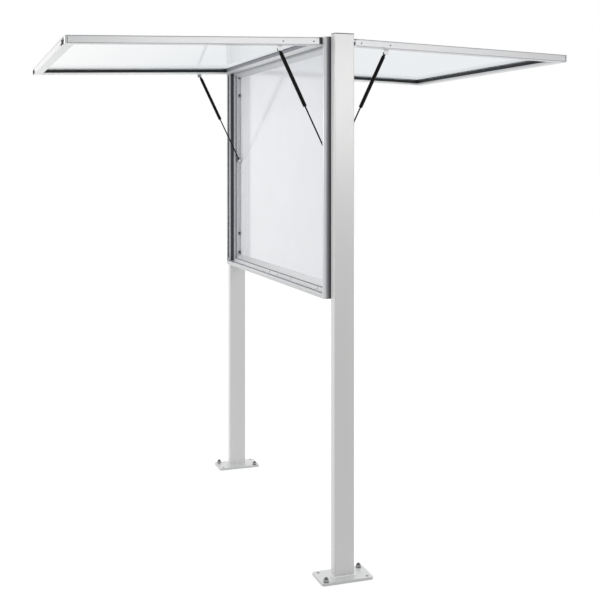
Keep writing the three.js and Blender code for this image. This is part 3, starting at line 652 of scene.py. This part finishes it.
def add_door_side_trim(facing, face, side, label):
    body = face + "_door"
    matrix = door_matrix(facing)
    outer = side * DOOR_HALF

    def add_box(name, spans, material):
        box_piece(f"{face}_{name}_{label}", spans, material, body, matrix)

    add_box(
        "hinge_end",
        (
            (outer, side * (DOOR_HALF + HINGE_END_THICKNESS)),
            (DOOR_OUTER, DOOR_INNER - HINGE_END_INSET),
            (HINGE_END_FOOT[face], DOOR_TOP),
        ),
        black_plastic,
    )
    for name, ends, y_span, heights, material in LOCK_TRIM:
        x_span = [side * (LOCK_X + end) for end in ends]
        add_box("lock_" + name, (x_span, y_span, [DOOR_FOOT + height for height in heights]), material)
    for name, thickness, y_span, z_span, material in SIDE_TRIM:
        add_box(name, ((outer, side * (DOOR_HALF + thickness)), y_span, z_span), material)
    lathe_piece(
        f"{face}_rod_eye_cap_{label}",
        EYE_CAP_PROFILE,
        (side * EYE_CAP_X, CASE_PIN_Y, CASE_PIN_Z),
        (-side, 0, 0),
        bright_steel,
        f"{face}_rod_{label}",
        facing_matrix(facing),
        EYE_CAP_STEPS,
    )
    for place, z, material in SIDE_SCREWS:
        screw(
            f"{face}_{place}_screw_{label}",
            (outer, SIDE_SCREW_Y, z),
            (side, 0, 0),
            SIDE_SCREW_RADIUS,
            material,
            body,
            matrix,
            SIDE_SCREW_FLATNESS,
        )


def add_door_trim():
    for facing, face in FACES:
        for side, label in SIDES:
            add_door_side_trim(facing, face, own_side(facing, side), label)
        for name, half, y_span, z_span, material in DOOR_LENGTHS:
            spans = ((-half, half), y_span, z_span)
            box_piece(f"{face}_{name}", spans, material, face + "_door", door_matrix(facing))


# Upright case trim, in a front place. Each row has a name, two values of X, two of Y and a material.
# Strips lie on the inner edge of the lip and on the inner wall, and others are painted shade in the gap at
# the post, dark strips on the case's side that grow lighter towards the front.
STRIP_Z = (CASE_BOTTOM + 0.031, CASE_TOP - 0.0375)
WALL_STRIPS = (
    ("lip_strip", (LIP_INNER, LIP_INNER - 0.0005), (-CASE_FACE + 0.0105, -CASE_FACE + 0.0050), case_rubber),
    ("wall_bead", (INNER_WALL, INNER_WALL - 0.0008), (-0.0275, -0.0240), case_rubber),
)
# Painted shade in the gap between case and post, darkest next to the post.
GAP_Z = (CASE_BOTTOM + 0.001, CASE_TOP - 0.001)
GAP_X = CASE_HALF + 0.0003
GAP_SHADE_STRIPS = (
    ("gap_strip", (GAP_X, CASE_HALF + 0.0015), (-0.0203, -0.0408), case_rubber),
    ("gap_lip", (GAP_X, CASE_HALF + 0.0007), (-0.0408, -0.0455), grey_gasket),
    ("gap_rim", (GAP_X, CASE_HALF + 0.0006), (-0.0455, -0.0530), edge_grey),
)

# Clips on the inner walls, with a screw in each
CLIP_HEIGHTS = (1.107, 1.203, 1.902, 1.995)
CLIP_X = (INNER_WALL, INNER_WALL - 0.0050)
CLIP_Y = (-0.0135, -0.0045)
CLIP_HALF_HEIGHT = 0.0075
CLIP_BEVEL = 0.0012
CLIP_SCREW_Y = -0.0085
CLIP_SCREW_BELOW = 0.0030
CLIP_SCREW_RADIUS = 0.0020

# Pieces along the bottom rail: a seal on its ridge, a grey strip in its drain groove as painted shade there,
# and a bright strip on its riser as a painted highlight. Each row has a name, half its length, two values of
# Y, two of Z, a material, a slot and a bevel.
RISER_HALF = INNER_WALL - 0.001
RAIL_LENGTHS = (
    (
        "ridge_seal",
        RISER_HALF,
        (-LANDING + 0.0003, -LANDING + 0.0045),
        (RIDGE_TOP, RIDGE_TOP + 0.0034),
        grey_gasket,
        "seal",
        0.0006,
    ),
    # A grey strip painted as the shade in the drain groove.
    (
        "drain_seal",
        LIP_INNER - 0.002,
        (-0.0448, -0.0425),
        (CASE_BOTTOM + 0.014, CASE_BOTTOM + 0.0162),
        grey_gasket,
        "seal",
        0.0,
    ),
    # A bright strip painted as a highlight on the riser.
    (
        "riser_strip",
        RISER_HALF,
        (-LANDING - 0.0002, -LANDING + 0.0001),
        (CASE_BOTTOM + 0.0180, CASE_BOTTOM + 0.0290),
        bright_silver,
        "silver_profile",
        0.0,
    ),
)

# Small bright plates on the riser, as painted glints, with a screw beside each
RAIL_GLINT_PLACES = (-0.109, 0.010, 0.517)
RAIL_GLINT_HALF = 0.015
RAIL_GLINT_Y = (-LANDING - 0.0007, -LANDING - 0.0001)
RAIL_GLINT_Z = (CASE_BOTTOM + 0.0195, CASE_BOTTOM + 0.0275)
RAIL_SCREW_ASIDE = 0.038
RAIL_SCREW_Y = -LANDING - 0.0002
RAIL_SCREW_Z = CASE_BOTTOM + 0.0235
RAIL_SCREW_RADIUS = 0.0040
RAIL_SCREW_FLATNESS = 0.15


def add_case_side_trim(face, side, label, matrix):
    for strips, z_span in ((WALL_STRIPS, STRIP_Z), (GAP_SHADE_STRIPS, GAP_Z)):
        for name, ends, y_span, material in strips:
            spans = ([side * end for end in ends], y_span, z_span)
            box_piece(f"{face}_{name}_{label}", spans, material, "frame", matrix)
    clip_x = [side * end for end in CLIP_X]
    for k, z in enumerate(CLIP_HEIGHTS):
        spans = (clip_x, CLIP_Y, (z - CLIP_HALF_HEIGHT, z + CLIP_HALF_HEIGHT))
        box_piece(f"{face}_wall_clip_{label}_{k}", spans, dark_clip, "frame", matrix, CLIP_BEVEL)
        screw(
            f"{face}_wall_clip_screw_{label}_{k}",
            (clip_x[1], CLIP_SCREW_Y, z - CLIP_SCREW_BELOW),
            (-side, 0, 0),
            CLIP_SCREW_RADIUS,
            zinc,
            "frame",
            matrix,
        )


def add_rail_trim(face, matrix):
    for name, half, y_span, z_span, material, slot, bevel in RAIL_LENGTHS:
        spans = ((-half, half), y_span, z_span)
        box_piece(f"{face}_{name}", spans, material, "frame", matrix, bevel)
    for k, x in enumerate(RAIL_GLINT_PLACES):
        spans = ((x - RAIL_GLINT_HALF, x + RAIL_GLINT_HALF), RAIL_GLINT_Y, RAIL_GLINT_Z)
        box_piece(f"{face}_rail_plate_{k}", spans, bright_white, "frame", matrix)
        screw(
            f"{face}_rail_screw_{k}",
            (x + RAIL_SCREW_ASIDE, RAIL_SCREW_Y, RAIL_SCREW_Z),
            (0, -1, 0),
            RAIL_SCREW_RADIUS,
            dark_steel,
            "frame",
            matrix,
            RAIL_SCREW_FLATNESS,
        )


def add_case_trim():
    for facing, face in FACES:
        matrix = facing_matrix(facing)
        for side, label in SIDES:
            add_case_side_trim(face, own_side(facing, side), label, matrix)
        add_rail_trim(face, matrix)


# Weld bead round the foot of each post. Its section is given as distances out from the post and up
# from the plate. It swells in two waves along its length, each with its share and its turn at each step.
WELD_SECTION = (
    (-0.0004, 0),
    (0.0042, 0),
    (0.0036, 0.0013),
    (0.0024, 0.0026),
    (0.0011, 0.0037),
    (-0.0004, 0.0042),
)
WELD_STEP = 0.0016
WELD_CORNER_STEPS = 4
WELD_WAVES = ((0.10, 1.9), (0.05, 0.37))


def post_outline():
    """Points on a post's outline about its middle, each with the direction out of the post."""
    far_x = POST_HALF_WIDTH - POST_CORNER
    far_y = POST_HALF_DEPTH - POST_CORNER
    outline = []
    for quarter, (x, y) in enumerate(((far_x, far_y), (-far_x, far_y), (-far_x, -far_y), (far_x, -far_y))):
        for step in range(WELD_CORNER_STEPS + 1):
            angle = math.radians(90 * (quarter + step / WELD_CORNER_STEPS))
            out = Vector((math.cos(angle), math.sin(angle)))
            outline.append((Vector((x, y)) + POST_CORNER * out, out))
    return outline


def weld_path():
    """The post's outline again, with a point at every step of the weld."""
    outline = post_outline()
    path = []
    for (point, out), (next_point, next_out) in zip(outline, outline[1:] + outline[:1]):
        count = max(1, round((next_point - point).length / WELD_STEP))
        for k in range(count):
            path.append((point.lerp(next_point, k / count), out.lerp(next_out, k / count).normalized()))
    return path


def add_welds():
    path = weld_path()
    size = len(WELD_SECTION)
    faces = []
    for i in range(len(path)):
        ring = i * size
        next_ring = (i + 1) % len(path) * size
        for k in range(size):
            m = (k + 1) % size
            faces.append((ring + k, next_ring + k, next_ring + m, ring + m))
    for side, label in SIDES:
        vertices = []
        for i, (point, direction) in enumerate(path):
            swell = 1 + sum(share * math.sin(i * turn) for share, turn in WELD_WAVES)
            for out, up in WELD_SECTION:
                place = point + direction * (out * swell if out > 0 else out)
                vertices.append((side * POST_X + place.x, place.y, PLATE_TOP + up * swell))
        piece(f"weld_{label}", vertices, faces, weld_silver, "frame", smooth=True)


# Floor. It shows white with a faint shadow, and its glow on the object falls off towards +X.
FLOOR_HALF = 16
FLOOR_DROP = 0.0005
FLOOR_GREY = 0.28
FLOOR_GLOW = 0.86
FLOOR_SPAN = 6
FLOOR_TONES = ((0.0, 0.90), (0.33, 0.62), (0.5, 0.44), (0.62, 0.24), (0.78, 0.16), (1.0, 0.14))


def floor_look():
    look = new_material("white_floor")
    glow = look.node("Emission")
    share = look.ranged(look.axis("Object", "X"), 0, 1, -FLOOR_SPAN, FLOOR_SPAN)
    pick = look.node("Mix", data_type="FLOAT")
    look.link(look.background_rays(), pick.inputs[MIX_FACTOR])
    look.link(look.graded(share, FLOOR_TONES), pick.inputs[MIX_VALUES[0]])
    pick.inputs[MIX_VALUES[1]].default_value = FLOOR_GLOW
    look.link(pick.outputs[MIX_VALUE_OUT], glow.inputs["Strength"])
    paint = look.node("BsdfDiffuse")
    paint.inputs["Color"].default_value = (*grey(FLOOR_GREY), 1)
    both = look.node("AddShader")
    look.link(glow.outputs["Emission"], both.inputs[0])
    look.link(paint.outputs["BSDF"], both.inputs[1])
    return look.surface(both.outputs["Shader"])


def add_stage():
    low = cad_box[0].z - FLOOR_DROP
    outline = ((-1, -1), (1, -1), (1, 1), (-1, 1))
    mesh = bpy.data.meshes.new("floor")
    mesh.from_pydata([(FLOOR_HALF * x, FLOOR_HALF * y, low) for x, y in outline], [], [(0, 1, 2, 3)])
    mesh.materials.append(floor_look())
    floor = bpy.data.objects.new("floor", mesh)
    bpy.context.collection.objects.link(floor)


# Lamps. Each row has a name, its place, what it points at, its width and height, and its power.
LAMPS = (
    ("key", (-1.2, -4.6, 2.15), (0, 0, 1.95), (2.4, 1.3), 5.0),
    ("side", (4.1, 1.1, 2.1), (0.74, 0.35, 1.95), (2.8, 0.9), 2.0),
)
LAMP_SPREAD = math.radians(50)


def add_lights():
    for name, location, target, size, power in LAMPS:
        data = bpy.data.lights.new(name, "AREA")
        data.spread = LAMP_SPREAD
        data.shape = "RECTANGLE"
        data.size, data.size_y = size
        data.energy = power
        lamp = bpy.data.objects.new(name, data)
        bpy.context.collection.objects.link(lamp)
        lamp.location = location
        lamp.rotation_euler = (Vector(target) - Vector(location)).to_track_quat("-Z", "Y").to_euler()
        lamp.visible_camera = False


# World. The camera sees white. The light is dimmer from overhead, and fades about the direction
# behind the camera from the high to the low strength over this range of cosines.
SKY_TONES = ((0.0, 1.0), (0.55, 1.0), (0.80, 0.60), (1.0, 0.40))
BEHIND_CAMERA = (0.944, -0.331, 0.0)
BEHIND_COSINES = (0.30, 0.95)
SKY_STRENGTHS = (1.05, 0.10)


def add_world():
    world = bpy.data.worlds.new("studio")
    bpy.context.scene.world = world
    look = NodeTree(world, "OutputWorld")
    seen = look.node("Background")
    seen.inputs["Color"].default_value = (*grey(1), 1)
    lit = look.node("Background")
    look.link(look.graded(look.axis("Generated", "Z"), SKY_TONES), lit.inputs["Color"])
    toward = look.node("VectorMath", operation="DOT_PRODUCT")
    look.link(look.coordinate.outputs["Generated"], toward.inputs[0])
    toward.inputs[1].default_value = BEHIND_CAMERA
    strength = look.ranged(toward.outputs["Value"], *SKY_STRENGTHS, *BEHIND_COSINES, "SMOOTHSTEP")
    look.link(strength, lit.inputs["Strength"])
    look.surface(look.mixed(look.background_rays(), lit.outputs["Background"], seen.outputs["Background"]))


add_camera()
dress_nodes()
add_door_trim()
add_case_trim()
add_welds()
add_stage()
add_world()
add_lights()

scene = bpy.context.scene
scene.view_settings.view_transform = "Standard"
scene.view_settings.look = "None"
scene.view_settings.exposure = 0
scene.view_settings.gamma = 1
